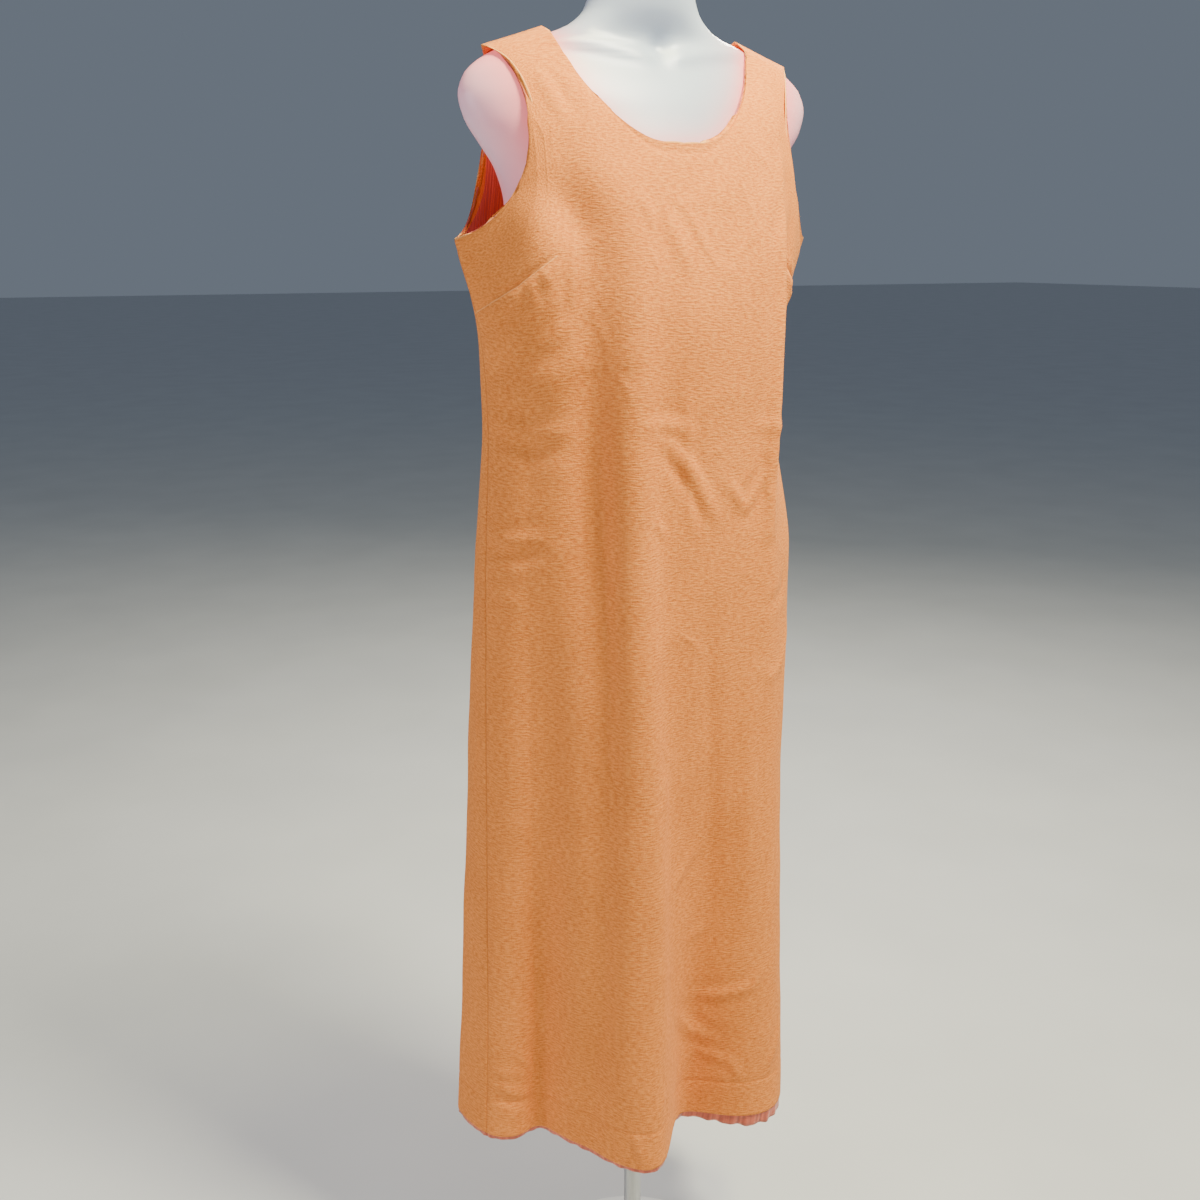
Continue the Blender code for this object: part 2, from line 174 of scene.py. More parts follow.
ARMPIT = (0.209, 0.000, 1.078)
SHOULDER_NECK_SHARE = {Panel.FRONT: 6 / 16, Panel.BACK: 4 / 12}
SHOULDER_TIP_SHARE = {Panel.FRONT: 8 / 16, Panel.BACK: 6 / 12}
SHOULDER_LEAN = 86
SHOULDER_NECK_SWING = -0.40
SHOULDER_TIP_SWING = 0.95
ARMPIT_SWING = -0.22
YOKE_SPRING = 0.95
EDGE_SPRING = 0.55
NECKLINE = {
    Panel.FRONT: (
        Cut(0.000, 0.000, -0.087, 1.1700, 22, 0.00),
        Cut(0.095, 0.029, -0.086, 1.1715, 22, 0.00),
        Cut(0.170, 0.055, -0.081, 1.1820, 25, 0.02),
        Cut(0.235, 0.078, -0.069, 1.2040, 33, 0.04),
        Cut(0.285, 0.096, -0.050, 1.2320, 45, 0.02),
        Cut(0.330, 0.107, -0.027, 1.2630, 62, -0.10),
    ),
    Panel.BACK: (
        Cut(0.000, 0.000, 0.086, 1.2180, 22, 0.00),
        Cut(0.085, 0.032, 0.083, 1.2200, 23, 0.00),
        Cut(0.165, 0.064, 0.073, 1.2300, 28, 0.02),
        Cut(0.235, 0.090, 0.052, 1.2500, 42, 0.02),
        Cut(0.285, 0.105, 0.026, 1.2700, 62, -0.10),
    ),
}
ARMHOLE = {
    Panel.FRONT: (
        Cut(0.545, 0.165, -0.026, 1.2460, 58, 0.85),
        Cut(0.590, 0.153, -0.047, 1.2180, 38, 0.60),
        Cut(0.645, 0.147, -0.058, 1.1850, 28, 0.22),
        Cut(0.715, 0.149, -0.062, 1.1540, 20, 0.00),
        Cut(0.805, 0.162, -0.054, 1.1230, 14, 0.00),
        Cut(0.905, 0.184, -0.032, 1.0960, 8, 0.00),
    ),
    Panel.BACK: (
        Cut(0.550, 0.166, 0.028, 1.2440, 58, 0.85),
        Cut(0.605, 0.156, 0.048, 1.2120, 38, 0.60),
        Cut(0.665, 0.152, 0.060, 1.1760, 26, 0.22),
        Cut(0.740, 0.155, 0.062, 1.1420, 18, 0.00),
        Cut(0.830, 0.168, 0.050, 1.1100, 12, 0.00),
        Cut(0.920, 0.187, 0.029, 1.0910, 8, 0.00),
    ),
}
CREASES = {
    Panel.FRONT: (
        Crease(-0.0095, 0.022, ((-0.122, 1.150), (-0.108, 1.05), (-0.100, 0.87), (-0.088, 0.60), (-0.084, 0.22), (-0.09, 0.0))),
        Crease(0.0060, 0.019, ((-0.064, 1.13), (-0.061, 1.04), (-0.064, 0.87), (-0.055, 0.60), (-0.037, 0.41), (-0.02, 0.16))),
        Crease(0.0050, 0.008, ((0.128, 1.160), (0.120, 1.08), (0.116, 0.98), (0.114, 0.88), (0.112, 0.76))),
        Crease(-0.0045, 0.011, ((0.148, 1.130), (0.142, 1.04), (0.136, 0.94), (0.132, 0.84))),
        Crease(-0.0020, 0.012, ((0.030, 0.70), (0.045, 0.52), (0.060, 0.30))),
        Crease(0.0020, 0.011, ((0.090, 0.62), (0.098, 0.44), (0.104, 0.28))),
        Crease(0.0016, 0.006, ((-0.052, 1.116), (-0.041, 1.086))),
        Crease(0.0018, 0.008, ((-0.036, 1.113), (-0.020, 1.080), (-0.006, 1.048))),
        Crease(-0.0055, 0.022, ((-0.148, 1.141), (-0.125, 1.105), (-0.107, 1.076))),
        Crease(-0.0045, 0.014, ((-0.118, 1.016), (-0.147, 0.970), (-0.180, 0.935))),
        Crease(0.0022, 0.010, ((-0.105, 1.020), (-0.135, 0.985), (-0.165, 0.955))),
        Crease(-0.0012, 0.006, ((-0.131, 1.067), (-0.131, 1.002))),
        Crease(0.0016, 0.007, ((-0.058, 0.896), (-0.030, 0.894), (-0.003, 0.886))),
        Crease(0.0022, 0.007, ((-0.048, 0.883), (-0.023, 0.872), (0.004, 0.843), (0.035, 0.789))),
        Crease(-0.0016, 0.007, ((-0.030, 0.858), (0.000, 0.828), (0.022, 0.785))),
        Crease(0.0020, 0.006, ((0.045, 0.833), (0.074, 0.797), (0.103, 0.832))),
        Crease(0.0012, 0.005, ((0.030, 0.858), (0.037, 0.867))),
        Crease(0.0014, 0.006, ((-0.009, 0.941), (-0.004, 0.896), (0.002, 0.811), (0.006, 0.777))),
        Crease(0.0014, 0.005, ((-0.043, 0.799), (-0.028, 0.776))),
        Crease(0.0022, 0.008, ((-0.185, 0.776), (-0.165, 0.768), (-0.140, 0.773))),
        Crease(-0.0022, 0.008, ((-0.180, 0.758), (-0.160, 0.752), (-0.140, 0.760))),
        Crease(0.0016, 0.006, ((-0.182, 0.775), (-0.164, 0.795))),
        Crease(0.0016, 0.007, ((-0.180, 0.725), (-0.162, 0.699))),
        Crease(0.0020, 0.008, ((-0.182, 0.905), (-0.150, 0.888), (-0.120, 0.892))),
        Crease(-0.0020, 0.010, ((-0.180, 0.882), (-0.150, 0.866), (-0.125, 0.870))),
        Crease(0.0014, 0.006, ((-0.100, 0.530), (-0.080, 0.480))),
        Crease(0.0016, 0.007, ((-0.028, 0.512), (-0.024, 0.480), (-0.021, 0.445))),
        Crease(0.0014, 0.005, ((-0.040, 0.464), (-0.027, 0.470))),
        Crease(0.0018, 0.007, ((0.031, 0.394), (0.014, 0.370), (-0.001, 0.351))),
        Crease(0.0016, 0.006, ((0.053, 0.284), (0.034, 0.265))),
        Crease(0.0020, 0.007, ((0.030, 0.186), (0.075, 0.180), (0.116, 0.188), (0.128, 0.213))),
        Crease(0.0022, 0.008, ((0.020, 0.165), (0.045, 0.130), (0.076, 0.112))),
        Crease(0.0024, 0.007, ((0.169, 0.119), (0.158, 0.088), (0.143, 0.064))),
        Crease(0.0016, 0.006, ((0.058, 0.100), (0.095, 0.080))),
        Crease(0.0016, 0.006, ((0.053, 0.098), (0.030, 0.060))),
        Crease(0.0014, 0.005, ((0.094, 0.086), (0.108, 0.060))),
        Crease(0.0016, 0.006, ((-0.057, 0.050), (-0.045, 0.004))),
        Crease(0.0016, 0.006, ((-0.019, 0.096), (-0.030, 0.070))),
        Crease(0.0018, 0.006, ((-0.180, 0.096), (-0.165, 0.088))),
        Crease(0.0020, 0.007, ((-0.180, 0.077), (-0.150, 0.055))),
        Crease(-0.0020, 0.008, ((-0.175, 0.060), (-0.140, 0.040))),
        Crease(0.0016, 0.006, ((-0.158, 0.122), (-0.140, 0.095))),
        Crease(0.0016, 0.007, ((0.150, 0.900), (0.120, 0.880), (0.085, 0.886))),
        Crease(-0.0016, 0.008, ((0.150, 0.720), (0.140, 0.690), (0.110, 0.680))),
        Crease(0.0016, 0.007, ((0.165, 0.640), (0.140, 0.600), (0.120, 0.590))),
        Crease(0.0014, 0.006, ((0.120, 1.150), (0.108, 1.200), (0.118, 1.240))),
        Crease(-0.0018, 0.010, ((0.140, 1.141), (0.120, 1.105), (0.107, 1.076))),
        Crease(0.0012, 0.006, ((-0.135, 1.235), (-0.120, 1.190))),
        Crease(-0.0012, 0.007, ((-0.128, 1.240), (-0.108, 1.190))),
    ),
    Panel.BACK: (
        Crease(-0.0065, 0.024, ((-0.105, 0.99), (-0.100, 0.80), (-0.092, 0.55), (-0.105, 0.30))),
        Crease(0.0050, 0.018, ((-0.050, 0.93), (-0.056, 0.72), (-0.062, 0.50), (-0.060, 0.30))),
        Crease(-0.0050, 0.020, ((0.012, 0.84), (0.004, 0.66), (-0.010, 0.40), (-0.016, 0.15))),
        Crease(0.0050, 0.020, ((0.070, 0.95), (0.060, 0.74), (0.048, 0.50), (0.042, 0.25))),
        Crease(-0.0060, 0.022, ((0.112, 0.98), (0.108, 0.78), (0.110, 0.52), (0.112, 0.28))),
        Crease(0.0035, 0.014, ((0.128, 1.165), (0.100, 1.110), (0.088, 1.040))),
        Crease(-0.0035, 0.016, ((-0.130, 1.150), (-0.106, 1.105), (-0.092, 1.040))),
        Crease(0.0030, 0.010, ((-0.090, 1.205), (-0.040, 1.178), (0.020, 1.176), (0.080, 1.198))),
        Crease(-0.0026, 0.010, ((-0.070, 1.176), (-0.010, 1.150), (0.060, 1.170))),
        Crease(0.0030, 0.009, ((0.020, 0.900), (0.055, 0.850), (0.075, 0.790))),
        Crease(-0.0026, 0.009, ((-0.020, 0.905), (-0.052, 0.862), (-0.070, 0.800))),
        Crease(0.0024, 0.007, ((-0.165, 0.560), (-0.130, 0.530), (-0.105, 0.470))),
        Crease(0.0024, 0.007, ((0.165, 0.700), (0.130, 0.660), (0.118, 0.600))),
        Crease(0.0020, 0.006, ((0.020, 0.330), (0.050, 0.300), (0.040, 0.250))),
        Crease(0.0022, 0.008, ((-0.150, 0.920), (-0.100, 0.895), (-0.050, 0.905))),
        Crease(-0.0022, 0.010, ((-0.140, 0.895), (-0.090, 0.870), (-0.040, 0.882))),
        Crease(0.0024, 0.009, ((0.160, 0.930), (0.110, 0.900), (0.060, 0.910))),
        Crease(0.0018, 0.008, ((0.140, 0.880), (0.090, 0.865), (0.030, 0.872))),
        Crease(0.0016, 0.007, ((-0.060, 1.120), (-0.030, 1.080), (-0.020, 1.030))),
        Crease(0.0016, 0.007, ((0.070, 1.130), (0.045, 1.090), (0.030, 1.020))),
        Crease(0.0020, 0.008, ((-0.180, 0.740), (-0.150, 0.690), (-0.145, 0.640))),
        Crease(0.0014, 0.006, ((0.020, 0.640), (0.012, 0.590), (0.020, 0.540))),
        Crease(-0.0018, 0.009, ((0.090, 0.520), (0.110, 0.470))),
        Crease(0.0016, 0.007, ((-0.100, 0.430), (-0.080, 0.380), (-0.085, 0.350))),
        Crease(0.0018, 0.007, ((0.130, 0.330), (0.090, 0.290))),
        Crease(0.0020, 0.007, ((-0.030, 0.200), (0.010, 0.180), (0.060, 0.195))),
        Crease(0.0020, 0.007, ((-0.150, 0.120), (-0.110, 0.080), (-0.090, 0.040))),
        Crease(0.0018, 0.006, ((0.110, 0.100), (0.150, 0.070))),
        Crease(0.0016, 0.006, ((-0.170, 0.300), (-0.165, 0.250), (-0.172, 0.210))),
    ),
}
DART = ((0.195, 1.004), (0.166, 1.034), (0.136, 1.062))


class Section(NamedTuple):
    """One level of the dress form."""

    height: float
    half_width: float
    front: float
    back: float
    power: float


TORSO = (
    Section(0.580, 0.142, 0.076, 0.074, 2.2),
    Section(0.640, 0.150, 0.083, 0.084, 2.2),
    Section(0.710, 0.150, 0.086, 0.088, 2.2),
    Section(0.790, 0.141, 0.085, 0.082, 2.2),
    Section(0.870, 0.128, 0.082, 0.075, 2.2),
    Section(0.950, 0.136, 0.094, 0.078, 2.2),
    Section(1.020, 0.146, 0.108, 0.082, 2.3),
    Section(1.070, 0.149, 0.105, 0.085, 2.3),
    Section(1.115, 0.152, 0.096, 0.084, 2.2),
    Section(1.145, 0.162, 0.086, 0.082, 2.1),
    Section(1.170, 0.180, 0.078, 0.079, 2.0),
    Section(1.193, 0.196, 0.069, 0.075, 2.0),
    Section(1.215, 0.202, 0.060, 0.070, 2.0),
    Section(1.233, 0.196, 0.051, 0.064, 2.0),
    Section(1.247, 0.181, 0.043, 0.057, 2.0),
    Section(1.258, 0.160, 0.037, 0.051, 2.0),
    Section(1.267, 0.134, 0.034, 0.047, 2.1),
    Section(1.275, 0.107, 0.033, 0.046, 2.1),
    Section(1.286, 0.081, 0.037, 0.047, 2.0),
    Section(1.302, 0.063, 0.043, 0.048, 2.0),
    Section(1.328, 0.054, 0.046, 0.048, 2.0),
    Section(1.370, 0.052, 0.046, 0.048, 2.0),
    Section(1.386, 0.049, 0.043, 0.045, 2.0),
    Section(1.394, 0.042, 0.036, 0.038, 2.0),
)


def smooth(at: np.ndarray | float, places: list[float], values: list[float]) -> np.ndarray:
    """Reads a smooth curve through a table's rows, with no overshoot.

    Args:
        at: Where to read it.
        places: The rows' places, rising.
        values: The rows' values.

    Returns:
        The values there.
    """
    at, places, values = (np.asarray(v, float) for v in (at, places, values))
    steps = np.diff(places)
    slopes = np.diff(values) / steps
    before, after = slopes[:-1], slopes[1:]
    same_way = before * after > 0
    total = np.where(same_way, before + after, 1.0)
    inner = np.where(same_way, 2 * before * after / total, 0.0)
    tangents = np.concatenate([slopes[:1], inner, slopes[-1:]])
    k = np.clip(np.searchsorted(places, at) - 1, 0, len(steps) - 1)
    t = (at - places[k]) / steps[k]
    rise = values[k] * (1 + 2 * t) * (1 - t) ** 2 + values[k + 1] * t**2 * (3 - 2 * t)
    bend = tangents[k] * t * (1 - t) ** 2 - tangents[k + 1] * t**2 * (1 - t)
    return rise + bend * steps[k]


def read(rows: tuple, name: str, z: float) -> float:
    """A table's column at the height z."""
    return float(smooth(z, [row.height for row in rows], [getattr(row, name) for row in rows]))


def bump(distance: np.ndarray, width: float) -> np.ndarray:
    """A soft ridge of height 1 at distance 0."""
    return np.exp(-((distance / width) ** 2))


def crease_height(crease: Crease, grid: np.ndarray) -> np.ndarray:
    """How far a crease lifts the cloth at each point of a grid.

    Args:
        crease: The crease.
        grid: The cloth's points, with heights above the hem.

    Returns:
        The lift at each point, dying out towards the crease's ends.
    """
    route = []
    for x, z in crease.route:
        away = (grid[..., 0] - x) ** 2 + (grid[..., 2] - z) ** 2
        route.append(grid[np.unravel_index(np.argmin(away), away.shape)])
    route = np.array(route)
    lengths = np.linalg.norm(np.diff(route, axis=0), axis=1)
    starts = np.concatenate([[0.0], np.cumsum(lengths)])
    nearest = np.full(grid.shape[:2], 9.0)
    along = np.zeros(grid.shape[:2])
    for k, length in enumerate(lengths):
        step = (route[k + 1] - route[k]) / length
        held = np.clip((grid - route[k]) @ step, 0.0, length)
        away = np.linalg.norm(grid - route[k] - held[..., None] * step, axis=2)
        closer = away < nearest
        nearest = np.where(closer, away, nearest)
        along = np.where(closer, starts[k] + held, along)
    share = along / starts[-1]
    body = 0.2 + 0.8 * np.sin(np.pi * np.clip(share, 0.0, 1.0)) ** 0.7
    ridge = bump(nearest, crease.width) - 0.3 * bump(nearest - 1.9 * crease.width, 1.1 * crease.width)
    return crease.depth * body * ridge


def dart_creases() -> tuple[Crease, ...]:
    """The bust darts on both sides: the sewn line, the fullness under it and its puckers."""
    found = []
    for side in (-1.0, 1.0):
        sewn = tuple((x * side, z) for x, z in DART)
        under = tuple((x * side, z - 0.011) for x, z in DART)
        found += [Crease(-0.0024, 0.0036, sewn), Crease(0.0016, 0.0070, under)]
        for k, reach in enumerate((0.019, 0.027, 0.016, 0.024, 0.014)):
            foot = (side * (0.190 - 0.011 * k), 1.003 + 0.011 * k)
            end = (foot[0] - side * 0.003, foot[1] - reach)
            found.append(Crease(0.0013, 0.0042, (foot, end)))
    return tuple(found)


@dataclass
class Pattern:
    """The surface of one half of the dress, as a grid of points.

    Rows run across the cloth, from the lining's hem up; columns run up it, from the left seam to the
    right one.
    """

    panel: Panel
    half_columns: int
    drop_rows: int = 8
    relaxing_rounds: int = 320
    eased_rows: int = 16
    ring_samples: int = 900
    grid: np.ndarray = field(init=False)
    normals: np.ndarray = field(init=False)

    def levels(self) -> np.ndarray:
        """The heights of the level rows, closer together at the hem."""
        drop = np.linspace(-LINING_SHOWS, 0.0, self.drop_rows + 1)[:-1]
        hem = np.linspace(0.0, 0.064, 29)[:-1]
        skirt = np.linspace(0.064, YOKE_HEIGHT, 206)
        return np.concatenate([drop, hem, skirt])

    def yoke_shares(self) -> np.ndarray:
        """Shares of the way from the yoke height to the cut edges, closer together at the edges."""
        return 1 - (1 - np.linspace(0.0, 1.0, 88)[1:]) ** 1.25

    def fold_depth(self, x: np.ndarray, z: float) -> np.ndarray:
        """How far the folds stand out at x across and z above the hem."""
        out = np.zeros_like(x)
        for fold in FOLDS[self.panel]:
            if z < fold.top:
                fallen = 1 - z / fold.top
                place = fold.top_x + (fold.hem_x - fold.top_x) * fallen
                width = fold.top_width + (fold.width - fold.top_width) * fallen
                out += fold.depth * fallen**fold.fade * np.exp(-0.5 * ((x - place) / width) ** 2)
        for swell in SWELLS[self.panel]:
            up = np.exp(-0.5 * ((z - swell.z) / swell.reach) ** 2)
            out += swell.depth * up * np.exp(-0.5 * ((x - swell.x) / swell.width) ** 2)
        return out

    def ring(self, z: float, fractions: np.ndarray) -> np.ndarray:
        """The points of the level ring at z, at fractions of its length."""
        side = self.panel.value
        half_turn = np.linspace(np.pi, 0.0, self.ring_samples)
        depth, power = read(RINGS, side, z), read(RINGS, side + "_power", z)
        left, right = read(RINGS, "left", z), read(RINGS, "right", z)
        left_seam, right_seam = read(RINGS, "left_seam", z), read(RINGS, "right_seam", z)
        across = np.sign(np.cos(half_turn)) * np.abs(np.cos(half_turn)) ** (2 / power)
        bulge = np.abs(np.sin(half_turn)) ** (2 / power)
        width = np.where(across < 0, left, right)
        x = across * width
        sideways = np.sign(across) * np.abs(across) ** (power - 1) / width
        forwards = bulge ** (power - 1) / depth
        out = self.fold_depth(x, z) * np.minimum(2 * bulge, 1) / np.hypot(sideways, forwards)
        seam = left_seam + (right_seam - left_seam) * (x + left) / (left + right)
        y = depth * bulge + out * forwards
        x = x + out * sideways
        y = seam + (y if self.panel is Panel.BACK else -y)
        length = np.concatenate([[0.0], np.cumsum(np.hypot(np.diff(x), np.diff(y)))])
        wanted = fractions * length[-1]
        level = np.full(len(wanted), z)
        return np.stack([np.interp(wanted, length, x), np.interp(wanted, length, y), level], axis=1)

    def cut_edge(self, shares: np.ndarray) -> tuple[np.ndarray, np.ndarray, np.ndarray]:
        """The points, leans and swings where columns with these shares of a half reach the edge."""
        neck_share, tip_share = SHOULDER_NECK_SHARE[self.panel], SHOULDER_TIP_SHARE[self.panel]
        neck = Cut(neck_share, *SHOULDER_NECK, SHOULDER_LEAN, SHOULDER_NECK_SWING)
        tip = Cut(tip_share, *SHOULDER_TIP, SHOULDER_LEAN, SHOULDER_TIP_SWING)
        armpit = Cut(1.0, *ARMPIT, 0, ARMPIT_SWING)
        stretches = (
            (*NECKLINE[self.panel], neck),
            (neck, tip),
            (tip, *ARMHOLE[self.panel], armpit),
        )
        which = np.searchsorted([neck_share, tip_share], shares - 1e-9)
        out = np.empty((len(shares), 5))
        for number, rows in enumerate(stretches):
            mine = which == number
            places = [row.share for row in rows]
            for k, name in enumerate(("x", "y", "z", "lean", "swing")):
                out[mine, k] = smooth(shares[mine], places, [getattr(row, name) for row in rows])
        return out[:, :3], out[:, 3], out[:, 4]

    def yoke(self, fractions: np.ndarray) -> np.ndarray:
        """The rows above the yoke height, bending from the ring to the cut edges."""
        step = 0.01
        start = self.ring(YOKE_HEIGHT, fractions)
        above = self.ring(YOKE_HEIGHT + step, fractions)
        below = self.ring(YOKE_HEIGHT - step, fractions)
        side = np.sign(fractions - 0.5)
        end, lean, swing = self.cut_edge(np.abs(2 * fractions - 1))
        end[:, 0] *= side
        reach = np.linalg.norm(end - start, axis=1)[:, None]
        leaving = (above - below) / (2 * step) * reach * YOKE_SPRING
        backwards = -1.0 if self.panel is Panel.BACK else 1.0
        over, up = np.sin(np.radians(lean)) * backwards, np.cos(np.radians(lean))
        outwards = (end - start)[:, 0] / reach[:, 0] * up + swing * side
        arriving = np.stack([outwards, over, up], axis=1) * reach * EDGE_SPRING
        t = self.yoke_shares()[:, None, None]
        bend = leaving * t * (1 - t) ** 2 - arriving * t**2 * (1 - t)
        return start * (1 + 2 * t) * (1 - t) ** 2 + end * t**2 * (3 - 2 * t) + bend

    def lay_out(self) -> None:
        """Works out the plain grid, with its foot on the hem."""
        fractions = np.linspace(0.0, 1.0, 2 * self.half_columns + 1)
        skirt = np.array([self.ring(z, fractions) for z in self.levels()])
        self.grid = np.concatenate([skirt, self.yoke(fractions)]) + (0.0, 0.0, HEM_HEIGHT)
        self.relax(len(skirt))

    def relax(self, first: int) -> None:
        """Evens out the yoke between its fixed edges, as stretched cloth evens itself out.

        Args:
            first: The first row of the yoke.
        """
        part = self.grid[first - 2 * self.eased_rows :]
        rows = np.arange(1, len(part) - 1)
        ease = np.clip(rows / (2 * self.eased_rows), 0.0, 1.0)[:, None, None] ** 2
        for _ in range(self.relaxing_rounds):
            around = part[:-2, 1:-1] + part[2:, 1:-1] + part[1:-1, :-2] + part[1:-1, 2:]
            part[1:-1, 1:-1] += ease * (around / 4 - part[1:-1, 1:-1]) / 2

    def shoulder_columns(self) -> list[int]:
        """The numbers of the columns that end on the left and on the right shoulder seam."""
        first = round(SHOULDER_NECK_SHARE[self.panel] * self.half_columns)
        last = round(SHOULDER_TIP_SHARE[self.panel] * self.half_columns)
        steps = range(first, last + 1)
        return [self.half_columns - k for k in steps] + [self.half_columns + k for k in steps]

    def find_normals(self) -> None:
        """Works out which way the cloth faces at each point, away from the body."""
        across = np.gradient(self.grid, axis=1)
        up = np.gradient(self.grid, axis=0)
        normals = np.cross(across, up)
        if self.panel is Panel.BACK:
            normals = -normals
        self.normals = normals / np.linalg.norm(normals, axis=2, keepdims=True)

    def to_edge(self) -> np.ndarray:
        """Each point's distance up its own column to the cut edge or the shoulder seam."""
        steps = np.linalg.norm(np.diff(self.grid, axis=0), axis=2)
        rest = np.cumsum(steps[::-1], axis=0)[::-1]
        return np.concatenate([rest, np.zeros((1, self.grid.shape[1]))])

    def across(self) -> np.ndarray:
        """Each point's distance across the cloth from the left seam."""
        steps = np.linalg.norm(np.diff(self.grid, axis=1), axis=2)
        return np.concatenate([np.zeros((self.grid.shape[0], 1)), np.cumsum(steps, axis=1)], axis=1)

    def up(self) -> np.ndarray:
        """Each point's distance up its own column from the lining's hem."""
        steps = np.linalg.norm(np.diff(self.grid, axis=0), axis=2)
        return np.concatenate([np.zeros((1, self.grid.shape[1])), np.cumsum(steps, axis=0)])

    def flat_places(self) -> np.ndarray:
        """Each point's place on the flat cloth, in metres across from the middle and up."""
        across = self.across()
        middle = across[:, self.half_columns : self.half_columns + 1]
        shift = BACK_PATTERN_SHIFT if self.panel is Panel.BACK else 0.0
        return np.stack([across - middle + shift, self.up()], axis=-1)

    def flat_place(self, x: float, z: float) -> tuple[float, float]:
        """The place on the flat cloth of the point at x across and z above the hem."""
        away = (self.grid[..., 0] - x) ** 2 + (self.grid[..., 2] - HEM_HEIGHT - z) ** 2
        return tuple(self.flat_places()[np.unravel_index(np.argmin(away), away.shape)])

    def wrinkle(self) -> None:
        """Lifts the grid by the creases, the seams and the slow unevenness of hanging cloth."""
        x, z = self.grid[..., 0], self.grid[..., 2] - HEM_HEIGHT
        level = self.grid - (0.0, 0.0, HEM_HEIGHT)
        lift = np.zeros(x.shape)
        for crease in CREASES[self.panel] + (dart_creases() if self.panel is Panel.FRONT else ()):
            lift += crease_height(crease, level)
        lift += 0.0007 * np.sin(31 * x + 9 * z + 1.1) * np.sin(17 * z + 0.6)
        lift += 0.0005 * np.sin(57 * x - 21 * z) * np.sin(41 * z + 2.0)
        lift -= 0.0009 * bump(z - HEM_DEPTH, 0.0030)
        seams = np.minimum(self.across(), self.across()[:, -1:] - self.across())
        lift = lift * (1 - 0.7 * bump(seams, 0.008)) - 0.0010 * bump(seams, 0.0040)
        edge = self.to_edge()
        open_edge = np.ones(x.shape[1])
        open_edge[self.shoulder_columns()] = 0.0
        lift += open_edge * (0.0007 * bump(edge, 0.0045) - 0.0005 * bump(edge - 0.011, 0.0035))
        lift -= (1 - open_edge) * 0.0007 * bump(edge, 0.0035)
        self.grid = self.grid + self.normals * lift[..., None]

    def clear_of(self, body: BVHTree, lowest: float) -> None:
        """Moves points out until they lie clear of the dress form.

        Args:
            body: The form's surface.
            lowest: The form's lowest height.
        """
        for row, column in np.argwhere(self.grid[..., 2] > lowest):
            point = Vector(self.grid[row, column])
            near, normal, _, _ = body.find_nearest(point)
            height = (point - near).dot(normal)
            if height < BODY_CLEARANCE:
                self.grid[row, column] += np.array(normal) * (BODY_CLEARANCE - height)


def join_seams(front: Pattern, back: Pattern, name: str) -> None:
    """Gives both halves the same values along the side seams and the shoulder seams.

    Args:
        front: The front half.
        back: The back half.
        name: Which of their grids to join.
    """
    ours, theirs = getattr(front, name), getattr(back, name)
    for column in (0, -1):
        middle = (ours[:, column] + theirs[:, column]) / 2
        ours[:, column] = middle
        theirs[:, column] = middle
    for a, b in zip(front.shoulder_columns(), back.shoulder_columns()):
        middle = (ours[-1, a] + theirs[-1, b]) / 2
        ours[-1, a] = middle
        theirs[-1, b] = middle


